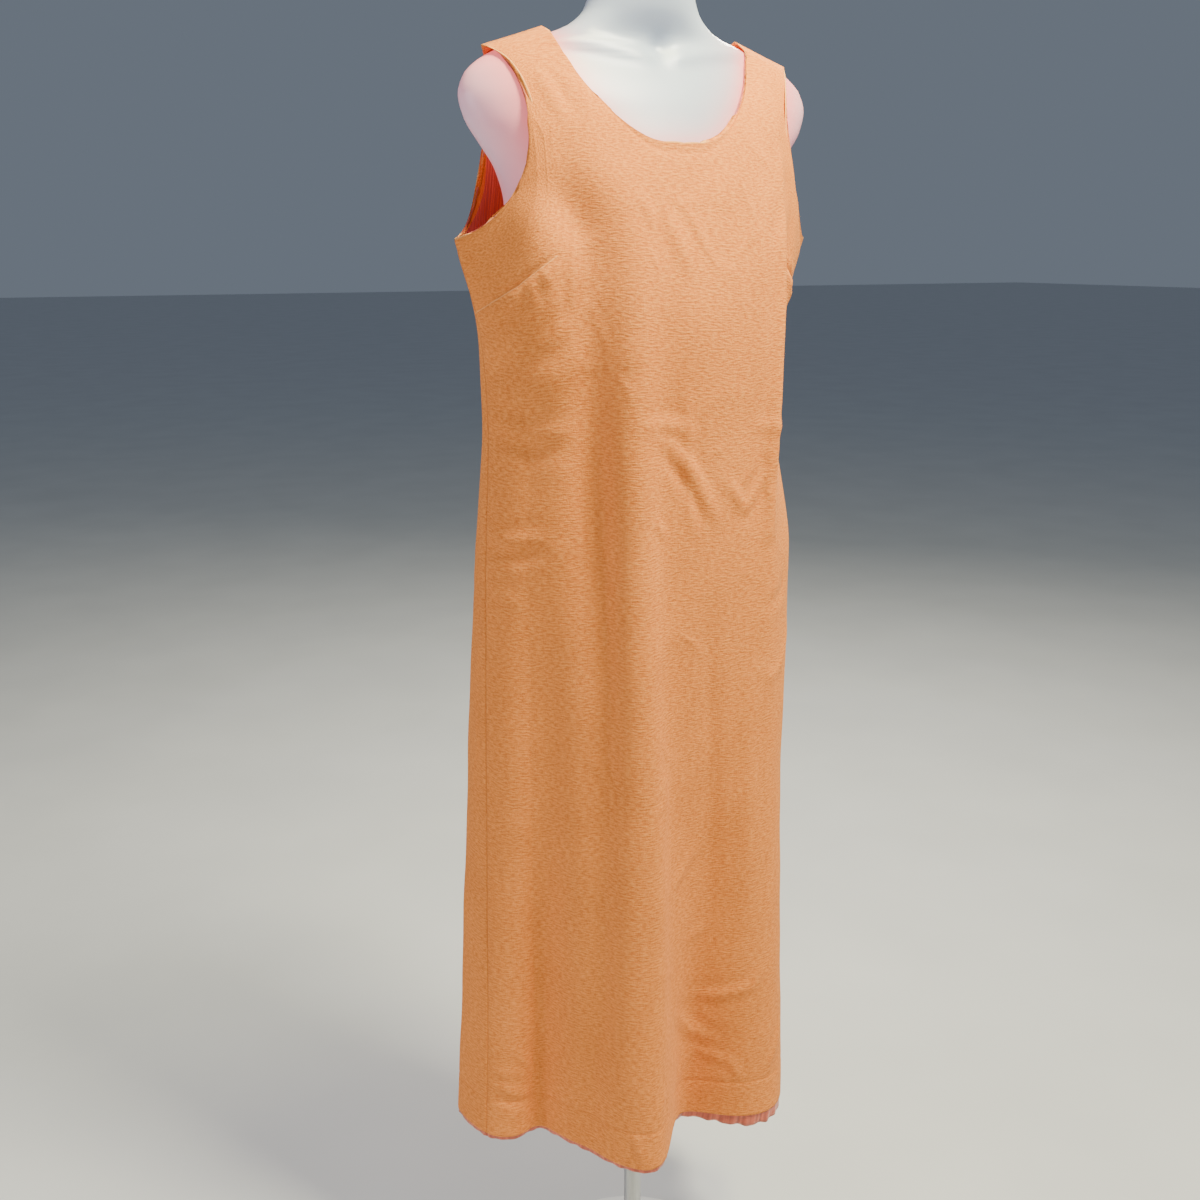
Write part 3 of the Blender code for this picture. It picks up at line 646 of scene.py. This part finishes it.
class Nodes:
    """A material's nodes, added and linked in a line each."""

    def __init__(self, name: str) -> None:
        """Starts a material with its Principled shader."""
        self.material = bpy.data.materials.new(name)
        self.material.use_nodes = True
        self.tree = self.material.node_tree
        self.shader = self.tree.nodes["Principled BSDF"]

    def add(self, kind: str, inputs: dict | None = None, **settings: object) -> bpy.types.Node:
        """Adds a node.

        Args:
            kind: Its type.
            inputs: Values or sockets for its inputs.
            settings: Its own settings.

        Returns:
            The node.
        """
        node = self.tree.nodes.new("ShaderNode" + kind)
        for key, value in settings.items():
            setattr(node, key, value)
        for key, value in (inputs or {}).items():
            self.put(node.inputs[key], value)
        return node

    def put(self, socket: bpy.types.NodeSocket, value: object) -> None:
        """Links a socket to a node's output, or sets its value."""
        if isinstance(value, bpy.types.NodeSocket):
            self.tree.links.new(value, socket)
        else:
            socket.default_value = value

    def noise(self, vector: bpy.types.NodeSocket, scale: float, detail: float = 3.0) -> bpy.types.NodeSocket:
        """A noise pattern's value."""
        return self.add("TexNoise", {"Vector": vector, "Scale": scale, "Detail": detail}).outputs["Fac"]

    def stretched(self, vector: bpy.types.NodeSocket, scale: tuple) -> bpy.types.NodeSocket:
        """Coordinates scaled differently across and up."""
        return self.add("Mapping", {"Vector": vector, "Scale": scale}).outputs["Vector"]

    def ramp(self, value: bpy.types.NodeSocket, stops: list[tuple[float, tuple]]) -> bpy.types.NodeSocket:
        """A colour read from a value through a few stops."""
        node = self.add("ValToRGB", {"Fac": value})
        band = node.color_ramp
        for k, (place, colour) in enumerate(stops):
            stop = band.elements[k] if k < 2 else band.elements.new(place)
            stop.position = place
            stop.color = (*colour, 1.0)
        return node.outputs["Color"]

    def mixed(self, share: object, first: object, second: object, blend: str = "MIX") -> bpy.types.NodeSocket:
        """Two colours mixed."""
        node = self.add("Mix", data_type="RGBA", blend_type=blend)
        self.put(node.inputs[0], share)
        self.put(node.inputs[6], first)
        self.put(node.inputs[7], second)
        return node.outputs[2]

    def math(self, operation: str, first: object, second: object = 0.0) -> bpy.types.NodeSocket:
        """The result of one sum on two numbers."""
        node = self.add("Math", operation=operation)
        self.put(node.inputs[0], first)
        self.put(node.inputs[1], second)
        return node.outputs[0]

    def near(self, distance: bpy.types.NodeSocket, width: float) -> bpy.types.NodeSocket:
        """1 where a distance is 0, falling to 0 at the width."""
        share = self.math("DIVIDE", self.math("ABSOLUTE", distance), width)
        falling = {"Value": share, "To Min": 1.0, "To Max": 0.0}
        return self.add("MapRange", falling, interpolation_type="SMOOTHSTEP").outputs["Result"]

    def attribute(self, name: str) -> bpy.types.NodeSocket:
        """A number kept on the mesh."""
        return self.add("Attribute", attribute_name=name).outputs["Fac"]

    def line(self, place: bpy.types.NodeSocket, start: tuple, end: tuple, width: float) -> bpy.types.NodeSocket:
        """1 on a straight line drawn on the flat cloth, falling to 0 at the width.

        Args:
            place: The flat cloth's coordinates.
            start: Where the line starts.
            end: Where it ends.
            width: How far from the line it still shows.

        Returns:
            The line's strength.
        """
        length = float(np.hypot(end[0] - start[0], end[1] - start[1]))
        along = ((end[0] - start[0]) / length, (end[1] - start[1]) / length, 0.0)
        aside = (-along[1], along[0], 0.0)
        from_start = self.add("VectorMath", {0: place, 1: (*start, 0.0)}, operation="SUBTRACT").outputs[0]
        run = self.add("VectorMath", {0: from_start, 1: along}, operation="DOT_PRODUCT").outputs["Value"]
        off = self.add("VectorMath", {0: from_start, 1: aside}, operation="DOT_PRODUCT").outputs["Value"]
        inside = self.math("MULTIPLY", self.math("GREATER_THAN", run, 0.0), self.math("LESS_THAN", run, length))
        return self.math("MULTIPLY", inside, self.near(off, width))

    def bumped(self, height: bpy.types.NodeSocket, strength: float, depth: float,
               under: bpy.types.NodeSocket | None = None) -> bpy.types.NodeSocket:
        """A normal bumped by a height pattern, over another one if it is given."""
        inputs = {"Height": height, "Strength": strength, "Distance": depth}
        if under is not None:
            inputs["Normal"] = under
        return self.add("Bump", inputs).outputs["Normal"]


@dataclass(frozen=True)
class SlubbedCloth:
    """The matt plain weave of the dress, with crosswise slubs and a soft fuzz."""

    darts: tuple
    light: tuple = (1.0, 0.37, 0.082)
    middle: tuple = (0.88, 0.272, 0.054)
    dark: tuple = (0.70, 0.188, 0.036)
    # edge: the colour of the light fibre flecks, of the painted highlight along the open edges and of the lighter
    # line along the darts.
    edge: tuple = (1.0, 0.50, 0.18)

    def make(self) -> bpy.types.Material:
        """The cloth's material, on the pieces' own UV map in metres."""
        nodes = Nodes("dress_cloth_finish")
        uv = nodes.add("UVMap", uv_map="cloth").outputs["UV"]
        slub = nodes.noise(nodes.stretched(uv, (150, 520, 1)), 1.0, 3.0)
        warp = nodes.noise(nodes.stretched(uv, (700, 190, 1)), 1.0, 2.0)
        fuzz = nodes.noise(uv, 900, 2.0)
        cloud = nodes.noise(uv, 9, 3.0)
        flecks = nodes.ramp(fuzz, [(0.56, (0.0, 0.0, 0.0)), (0.70, (0.5, 0.5, 0.5))])
        colour = nodes.ramp(slub, [(0.38, self.dark), (0.62, self.light), (0.50, self.middle)])
        colour = nodes.mixed(0.30, colour, nodes.ramp(warp, [(0.3, self.dark), (0.7, self.light)]))
        colour = nodes.mixed(flecks, colour, (*self.edge, 1.0))
        shade = nodes.ramp(cloud, [(0.3, (0.92, 0.90, 0.88)), (0.7, (1.0, 1.0, 1.0))])
        colour = nodes.mixed(1.0, colour, shade, "MULTIPLY")
        # Painted highlight: a light line along the open edges of the neckline and armholes, with a lighter line
        # along each sewn dart.
        sewn = nodes.math("MAXIMUM", *(nodes.line(uv, *dart, 0.0013) for dart in self.darts))
        open_edge = nodes.near(nodes.attribute("edge"), 0.0022)
        edge_highlight_and_dart_line = nodes.math("MAXIMUM", nodes.math("MULTIPLY", sewn, 0.8), open_edge)
        colour = nodes.mixed(edge_highlight_and_dart_line, colour, (*self.edge, 1.0))
        side_seam = nodes.near(nodes.attribute("seam"), 0.0016)
        up = nodes.add("SeparateXYZ", {"Vector": uv}).outputs["Y"]
        hem_line = nodes.near(nodes.math("SUBTRACT", up, LINING_SHOWS + HEM_DEPTH), 0.0014)
        dark_line = nodes.math("MAXIMUM", side_seam, hem_line)
        colour = nodes.mixed(nodes.math("MULTIPLY", dark_line, 0.45), colour, (*self.dark, 1.0))
        nodes.put(nodes.shader.inputs["Base Color"], colour)
        nodes.put(nodes.shader.inputs["Roughness"], 0.92)
        nodes.put(nodes.shader.inputs["Sheen Weight"], 0.12)
        nodes.put(nodes.shader.inputs["Sheen Roughness"], 0.45)
        nodes.put(nodes.shader.inputs["Sheen Tint"], (1.0, 0.62, 0.36, 1.0))
        nodes.put(nodes.shader.inputs["Specular IOR Level"], 0.08)
        normal = nodes.bumped(self.crumples(nodes, uv), 0.26, 0.0035)
        normal = nodes.bumped(slub, 0.70, 0.0013, normal)
        normal = nodes.bumped(warp, 0.35, 0.0007, normal)
        nodes.put(nodes.shader.inputs["Normal"], nodes.bumped(fuzz, 0.40, 0.0005, normal))
        return nodes.material

    def crumples(self, nodes: Nodes, uv: bpy.types.NodeSocket) -> bpy.types.NodeSocket:
        """The small broken creases of worn linen, in patches.

        Args:
            nodes: The material's nodes.
            uv: The flat cloth's coordinates.

        Returns:
            Their height.
        """
        bend = nodes.add("TexNoise", {"Vector": uv, "Scale": 11.0, "Detail": 2.0}).outputs["Color"]
        bent = nodes.add("VectorMath", {0: bend, 1: (0.09, 0.09, 0.0)}, operation="MULTIPLY").outputs[0]
        place = nodes.add("VectorMath", {0: uv, 1: bent}, operation="ADD").outputs[0]
        wide = nodes.stretched(place, (15, 9, 1))
        cells = nodes.add("TexVoronoi", {"Vector": wide, "Scale": 1.0}, feature="DISTANCE_TO_EDGE")
        crease = nodes.near(cells.outputs["Distance"], 0.13)
        patches = nodes.ramp(nodes.noise(uv, 7, 2.0), [(0.48, (0.0, 0.0, 0.0)), (0.62, (1.0, 1.0, 1.0))])
        return nodes.math("MULTIPLY", crease, patches)


@dataclass(frozen=True)
class Lining:
    """The smooth coral lining."""

    deep: tuple = (0.68, 0.110, 0.050)
    light: tuple = (0.86, 0.200, 0.105)

    def make(self) -> bpy.types.Material:
        """The lining's material."""
        nodes = Nodes("lining_finish")
        uv = nodes.add("UVMap", uv_map="cloth").outputs["UV"]
        thread = nodes.noise(nodes.stretched(uv, (160, 1400, 1)), 1.0, 2.0)
        gathers = nodes.noise(nodes.stretched(uv, (170, 6, 1)), 1.0, 1.0)
        colour = nodes.ramp(thread, [(0.25, self.deep), (0.75, self.light)])
        # Painted shade: the lining darkens in the valleys of its gathers, following the same pattern that bumps
        # them.
        folds = nodes.ramp(gathers, [(0.38, (0.50, 0.40, 0.40)), (0.65, (1.0, 1.0, 1.0))])
        nodes.put(nodes.shader.inputs["Base Color"], nodes.mixed(0.8, colour, folds, "MULTIPLY"))
        nodes.put(nodes.shader.inputs["Roughness"], 0.34)
        nodes.put(nodes.shader.inputs["Sheen Weight"], 0.15)
        normal = nodes.bumped(gathers, 0.35, 0.004)
        nodes.put(nodes.shader.inputs["Normal"], nodes.bumped(thread, 0.25, 0.0003, normal))
        return nodes.material


@dataclass(frozen=True)
class FrostedPlastic:
    """The satin, slightly translucent white of the dress form, with a pink glow painted on near the cloth, partly
    as emission, in place of the light the coral cloth throws on it.
    """

    white: tuple = (0.54, 0.63, 0.80)
    painted_glow_colour: tuple = (1.0, 0.27, 0.28)
    painted_glow_strength: float = 0.65

    def make(self) -> bpy.types.Material:
        """The form's material."""
        nodes = Nodes("frosted_plastic_finish")
        place = nodes.add("TexCoord").outputs["Object"]
        grain = nodes.noise(place, 420, 2.0)
        # Painted glow: near the cloth the form turns pink and emits pink light, standing in for light bounced from
        # and passing through the coral cloth.
        near = nodes.attribute("painted_glow_share")
        colour = nodes.mixed(near, (*self.white, 1.0), (*self.painted_glow_colour, 1.0))
        veil = nodes.ramp(nodes.noise(place, 14), [(0.3, (0.95, 0.95, 0.96)), (0.7, (1.0, 1.0, 1.0))])
        nodes.put(nodes.shader.inputs["Base Color"], nodes.mixed(1.0, colour, veil, "MULTIPLY"))
        nodes.put(nodes.shader.inputs["Roughness"], 0.34)
        nodes.put(nodes.shader.inputs["Emission Color"], nodes.mixed(near, (0.0, 0.0, 0.0, 1.0), (*self.painted_glow_colour, 1.0)))
        nodes.put(nodes.shader.inputs["Emission Strength"], self.painted_glow_strength)
        nodes.put(nodes.shader.inputs["Subsurface Weight"], 0.35)
        nodes.put(nodes.shader.inputs["Subsurface Radius"], (0.02, 0.018, 0.016))
        nodes.put(nodes.shader.inputs["Subsurface Scale"], 1.0)
        nodes.put(nodes.shader.inputs["Normal"], nodes.bumped(grain, 0.12, 0.0003))
        return nodes.material


@dataclass(frozen=True)
class Metal:
    """A stand's finish: brushed steel, or a powder coat where metallic is 0."""

    name: str
    colour: tuple
    roughness: float
    metallic: float
    grain: tuple

    def make(self) -> bpy.types.Material:
        """The metal's material."""
        nodes = Nodes(self.name)
        place = nodes.add("TexCoord").outputs["Object"]
        grain = nodes.noise(nodes.stretched(place, self.grain), 1.0, 3.0)
        darker = tuple(0.86 * part for part in self.colour)
        colour = nodes.ramp(grain, [(0.3, darker), (0.7, self.colour)])
        nodes.put(nodes.shader.inputs["Base Color"], colour)
        nodes.put(nodes.shader.inputs["Metallic"], self.metallic)
        nodes.put(nodes.shader.inputs["Roughness"], self.roughness)
        nodes.put(nodes.shader.inputs["Normal"], nodes.bumped(grain, 0.15, 0.0003))
        return nodes.material


def new_object(name: str, points: np.ndarray, faces: list, material: bpy.types.Material) -> bpy.types.Object:
    """Makes an object from points and faces, shaded smooth.

    Args:
        name: The object's name.
        points: Its points, in metres.
        faces: Its faces, facing outwards.
        material: Its finish.

    Returns:
        The object.
    """
    mesh = bpy.data.meshes.new(name)
    mesh.from_pydata([tuple(point) for point in points], [], faces)
    mesh.shade_smooth()
    mesh.materials.append(material)
    obj = bpy.data.objects.new(name, mesh)
    bpy.context.scene.collection.objects.link(obj)
    return obj


@dataclass
class DressForm:
    """The smooth limbless form, from its hips to the top of its neck."""

    segments: int = 128
    rows: int = 150
    points: np.ndarray = field(init=False)
    body: BVHTree = field(init=False)

    def shape(self) -> None:
        """Works out the form's rings and its surface for the cloth to lie on."""
        heights = np.linspace(TORSO[0].height, TORSO[-1].height, self.rows)
        turns = np.linspace(0.0, 2 * np.pi, self.segments, endpoint=False)
        rings = []
        for z in heights:
            power = read(TORSO, "power", z)
            x = np.sign(np.cos(turns)) * np.abs(np.cos(turns)) ** (2 / power)
            y = np.sign(np.sin(turns)) * np.abs(np.sin(turns)) ** (2 / power)
            depth = np.where(y < 0, read(TORSO, "front", z), read(TORSO, "back", z))
            level = np.full(self.segments, z + HEM_HEIGHT)
            x = x * read(TORSO, "half_width", z)
            collar = 1.256 + 0.16 * np.maximum(np.abs(x) - 0.018, 0.0)
            swelling = 0.0040 * bump(z - collar, 0.0080) * np.clip(9.0 - 75.0 * np.abs(x), 0.0, 1.0)
            hollow = 0.0075 * bump(x, 0.012) * bump(z - 1.262, 0.012)
            y = y * depth - np.where(y < 0, swelling - hollow, 0.0)
            rings.append(np.stack([x, y, level], axis=1))
        self.points = np.array(rings)
        flat = self.points.reshape(-1, 3)
        self.body = BVHTree.FromPolygons([tuple(p) for p in flat], self.faces())

    def faces(self) -> list:
        """The faces of the sides, the underside and the top."""
        n = self.segments
        faces = [
            (r * n + k, r * n + (k + 1) % n, (r + 1) * n + (k + 1) % n, (r + 1) * n + k)
            for r in range(self.rows - 1)
            for k in range(n)
        ]
        faces.append(tuple(range(n - 1, -1, -1)))
        faces.append(tuple((self.rows - 1) * n + k for k in range(n)))
        return faces

    def build(self, cloth: np.ndarray) -> bpy.types.Object:
        """Makes the form.

        Args:
            cloth: Points of the dress, near which a pink glow is painted on the form.

        Returns:
            The form.
        """
        flat = self.points.reshape(-1, 3)
        obj = new_object("dress_form", flat, self.faces(), FrostedPlastic().make())
        near = KDTree(len(cloth))
        for k, point in enumerate(cloth):
            near.insert(point, k)
        near.balance()
        # Share of the painted pink glow: 1 at the cloth, fading with distance, with a wider reach towards the
        # sides.
        reach = 0.014 + 0.040 * np.clip((np.abs(flat[:, 0]) - 0.125) / 0.03, 0.0, 1.0)
        shares = [np.exp(-near.find(point)[2] / far) for point, far in zip(flat, reach)]
        attribute = obj.data.attributes.new("painted_glow_share", "FLOAT", "POINT")
        attribute.data.foreach_set("value", np.array(shares, np.float32))
        obj.data.set_sharp_from_angle(angle=np.radians(50))
        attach(obj, BODY)
        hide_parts("form_torso")
        return obj


@dataclass
class Dress:
    """The four shells of the dress."""

    body: BVHTree
    front: Pattern = field(default_factory=lambda: Pattern(Panel.FRONT, 96))
    back: Pattern = field(default_factory=lambda: Pattern(Panel.BACK, 72))
    set_back_rows: int = 2

    def shape(self) -> None:
        """Lays out both halves, joins them and gives them their creases."""
        halves = (self.front, self.back)
        for half in halves:
            half.lay_out()
        join_seams(self.front, self.back, "grid")
        for half in halves:
            half.find_normals()
        join_seams(self.front, self.back, "normals")
        for half in halves:
            half.wrinkle()
        join_seams(self.front, self.back, "grid")
        for _ in range(2):
            for half in halves:
                half.clear_of(self.body, HEM_HEIGHT + TORSO[0].height)
            join_seams(self.front, self.back, "grid")
        for half in halves:
            half.find_normals()
        join_seams(self.front, self.back, "normals")
        for half in halves:
            half.normals /= np.linalg.norm(half.normals, axis=2, keepdims=True)

    def lining_drop(self, half: Pattern, points: np.ndarray) -> np.ndarray:
        """Gives the lining's lower edge its uneven depth and its gathers.

        Args:
            half: The half of the dress.
            points: The lining's points on one side.

        Returns:
            The points, moved.
        """
        x, z = half.grid[..., 0], half.grid[..., 2] - HEM_HEIGHT
        below = np.clip(-z / LINING_SHOWS, 0.0, 1.0)
        deeper = 0.50 + 0.85 * np.clip((x - 0.02) / 0.10, 0.0, 1.0)
        along = half.across()
        gathers = np.sin(290 * along + 2.1 * np.sin(37 * along)) + 0.6 * np.sin(420 * along)
        moved = points.copy()
        moved[..., 2] -= below * (LINING_SHOWS * (deeper - 1) + 0.0005 * np.sin(230 * along))
        return moved + half.normals * (below * deeper * gathers * 0.0010)[..., None]

    def shell(self, half: Pattern, layer: Layer, material: bpy.types.Material) -> bpy.types.Object:
        """Makes one shell, whose inner side has every second row, as the lining has on both sides.

        Args:
            half: The half of the dress.
            layer: The cloth or the lining.
            material: Its finish.

        Returns:
            The shell, riding on the body in place of its solid.
        """
        if layer is Layer.CLOTH:
            foot, wall = LINING_WALL + LAYER_GAP, CLOTH_WALL
            rows = (slice(half.drop_rows, None), slice(half.drop_rows, None, 2))
        else:
            foot, wall = 0.0, LINING_WALL
            rows = (slice(0, -self.set_back_rows, 2),) * 2
        sides = [half.grid + half.normals * rise for rise in (foot + wall, foot)]
        if layer is Layer.LINING:
            sides = [self.lining_drop(half, side) for side in sides]
        sides = [side[kept] for side, kept in zip(sides, rows)]
        faces = self.walls(len(sides[0]), len(sides[1]), 2 * half.half_columns + 1)
        if half.panel is Panel.BACK:
            faces = [face[::-1] for face in faces]
        name = f"{half.panel.value}_{layer.value}"
        points = np.concatenate([side.reshape(-1, 3) for side in sides])
        obj = new_object(name + "_shell", points, faces, material)
        self.lay_pattern(obj, half, rows)
        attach(obj, BODY)
        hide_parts(name)
        return obj

    def walls(self, outer_rows: int, inner_rows: int, columns: int) -> list:
        """The faces of a shell: its outer side, its inner side and the rim between them.

        Args:
            outer_rows: How many rows of points the outer side has.
            inner_rows: How many the inner side has, each level with one of the outer side's.
            columns: How many columns both have.

        Returns:
            The faces, as numbers of the outer side's points and then the inner side's.
        """
        over = np.arange(outer_rows * columns).reshape(-1, columns)
        under = over.size + np.arange(inner_rows * columns).reshape(-1, columns)
        step = (outer_rows - 1) // (inner_rows - 1)
        faces = []
        for index, turn in ((over, 1), (under, -1)):
            quads = np.stack([index[:-1, :-1], index[:-1, 1:], index[1:, 1:], index[1:, :-1]], axis=-1)
            faces += quads.reshape(-1, 4)[:, ::turn].tolist()
        for column, turn in ((0, 1), (-1, -1)):
            for k in range(inner_rows - 1):
                side = over[step * k : step * (k + 1) + 1, column]
                faces.append([*side, under[k + 1, column], under[k, column]][::turn])
        for row, turn in ((0, -1), (-1, 1)):
            for k in range(columns - 1):
                faces.append([*over[row, k : k + 2], under[row, k + 1], under[row, k]][::turn])
        return faces

    def lay_pattern(self, obj: bpy.types.Object, half: Pattern, rows: tuple[slice, slice]) -> None:
        """Gives a shell its UV map in metres and its distances from the open edges and the side seams.

        Args:
            obj: The shell.
            half: The half of the dress.
            rows: The rows that its outer and its inner side hold.
        """
        across = half.across()
        edge = half.to_edge()
        edge[:, half.shoulder_columns()] += SHOULDER_HIDES_EDGE
        seam = np.minimum(across, across[:, -1:] - across)
        flat = half.flat_places()
        both = np.concatenate([flat[kept].reshape(-1, 2) for kept in rows])
        corners = np.empty(len(obj.data.loops), np.int32)
        obj.data.loops.foreach_get("vertex_index", corners)
        layer = obj.data.uv_layers.new(name="cloth")
        layer.data.foreach_set("uv", both[corners].astype(np.float32).ravel())
        for name, values in (("edge", edge), ("seam", seam)):
            attribute = obj.data.attributes.new(name, "FLOAT", "POINT")
            kept_values = np.concatenate([values[kept].ravel() for kept in rows])
            attribute.data.foreach_set("value", kept_values.astype(np.float32))

    def build(self) -> None:
        """Makes the four shells."""
        foot, tip = DART[0], DART[-1]
        darts = tuple(
            (self.front.flat_place(side * foot[0], foot[1]), self.front.flat_place(side * tip[0], tip[1]))
            for side in (-1.0, 1.0)
        )
        cloth, lining = SlubbedCloth(darts).make(), Lining().make()
        finishes = {Layer.CLOTH: (cloth, "dress_cloth"), Layer.LINING: (lining, "lining_satin")}
        for half in (self.front, self.back):
            for layer, (material, slot) in finishes.items():
                obj = self.shell(half, layer, material)
                width = float(half.across()[:, -1].max())
                length = float(half.up().max())


@dataclass
class Stand:
    """The pole, the flange and the base, which keep their own shapes."""

    def build(self) -> None:
        """Gives each piece its finish."""
        steel = Metal("stand_steel_finish", (0.50, 0.51, 0.53), 0.38, 1.0, (900, 900, 40))
        coat = Metal("base_paint_finish", (0.80, 0.80, 0.79), 0.45, 0.0, (700, 700, 700))
        for node, finish in (("pole", steel), ("flange", steel), ("base_plate", coat)):
            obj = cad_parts[node]
            obj.data.materials.clear()
            obj.data.materials.append(finish.make())
            LOG.info("%s: dressed", node)


@dataclass
class Studio:
    """The floor, the light and the camera."""

    def light(self, name: str, place: tuple, aim: tuple, size: float, power: float, colour: tuple) -> None:
        """Adds a soft lamp that looks at a point."""
        data = bpy.data.lights.new(name, "AREA")
        data.size = size
        data.energy = power
        data.color = colour
        lamp = bpy.data.objects.new(name, data)
        lamp.location = place
        lamp.rotation_euler = (Vector(aim) - Vector(place)).to_track_quat("-Z", "Y").to_euler()
        bpy.context.scene.collection.objects.link(lamp)

    def build(self) -> None:
        """Builds the studio."""
        nodes = Nodes("floor_finish")
        place = nodes.add("TexCoord").outputs["Object"]
        colour = nodes.ramp(nodes.noise(place, 3.0), [(0.3, (0.60, 0.61, 0.62)), (0.7, (0.64, 0.65, 0.66))])
        nodes.put(nodes.shader.inputs["Base Color"], colour)
        nodes.put(nodes.shader.inputs["Roughness"], 0.7)
        corners = np.array([(-1, -1, 0), (1, -1, 0), (1, 1, 0), (-1, 1, 0)]) * 40.0 - (0, 0, 0.0005)
        floor = new_object("floor", corners, [(0, 1, 2, 3)], nodes.material)
        self.light("key", (0.60, -1.25, 3.15), (0.0, 0.0, 1.1), 0.5, 120.0, (1.0, 0.94, 0.72))
        self.light("top", (0.22, -0.50, 2.75), (0.0, -0.1, 1.4), 0.4, 36.0, (1.0, 0.97, 0.50))
        self.light("front", (0.5, -3.2, 0.9), (0.0, 0.0, 0.7), 1.6, 8.0, (1.0, 0.96, 0.92))
        self.light("left", (-2.4, -0.1, 1.4), (0.0, 0.0, 0.9), 1.2, 27.0, (1.0, 0.94, 0.98))
        self.light("back", (1.5, 1.7, 2.9), (0.0, 0.0, 1.0), 0.8, 95.0, (1.0, 0.95, 0.82))
        world = bpy.data.worlds.new("studio")
        world.use_nodes = True
        sky = world.node_tree.nodes["Background"]
        sky.inputs["Color"].default_value = (0.44, 0.52, 0.64, 1.0)
        sky.inputs["Strength"].default_value = 0.32
        bpy.context.scene.world = world
        data = bpy.data.cameras.new("camera")
        data.sensor_width = 36.0
        data.lens = 38.22
        camera = bpy.data.objects.new("camera", data)
        camera.location = (-0.683, -1.246, 1.348)
        camera.rotation_euler = (np.radians(74.6), 0.0, np.radians(-27.0))
        bpy.context.scene.collection.objects.link(camera)
        bpy.context.scene.camera = camera


def main() -> None:
    """Builds the studio, the stand, the dress and the form."""
    logging.basicConfig(level=logging.INFO, format="%(message)s")
    Studio().build()
    Stand().build()
    form = DressForm()
    form.shape()
    dress = Dress(form.body)
    dress.shape()
    dress.build()
    inner = np.concatenate([dress.front.grid.reshape(-1, 3), dress.back.grid.reshape(-1, 3)])
    form.build(inner)


if __name__ == "__main__":
    main()
